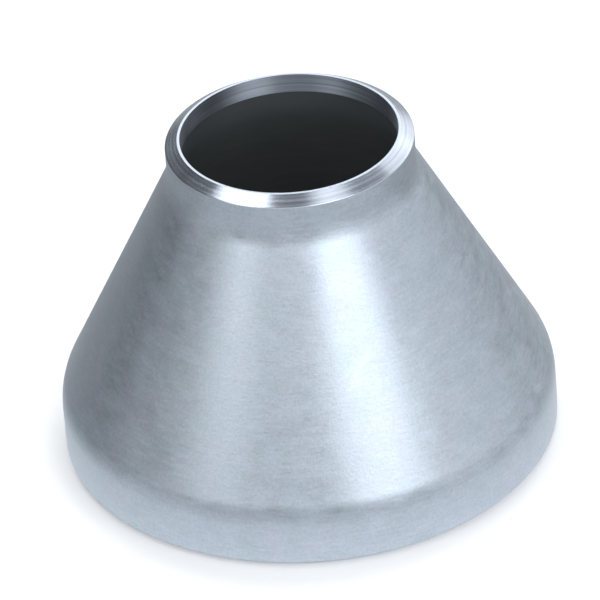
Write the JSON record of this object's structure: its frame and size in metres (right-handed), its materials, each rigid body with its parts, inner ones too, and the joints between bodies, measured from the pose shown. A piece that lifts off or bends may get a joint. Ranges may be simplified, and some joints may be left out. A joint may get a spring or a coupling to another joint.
{
  "type": "concentric reducer",
  "caption": "Seamless concentric butt-weld pipe reducer: a round conical steel shell between a large and a small straight end, both bevelled for welding.",
  "frame": {"origin": "centre of the large end's face, on the pipe's axis; the reducer stands on this face", "axes": "+Z along the pipe's axis, from the large end to the small end; X and Y are any two directions square to it, because the fitting is round"},
  "size_m": [0.219, 0.219, 0.152],
  "materials": {
    "stainless_steel": "satin outside with a fine grain round the axis; turned bevels and root faces; a bored band inside the small end and a dull as-formed skin below it"
  },
  "bodies": {
    "root": {"reducer_body": "stainless_steel"}
  },
  "joints": []
}
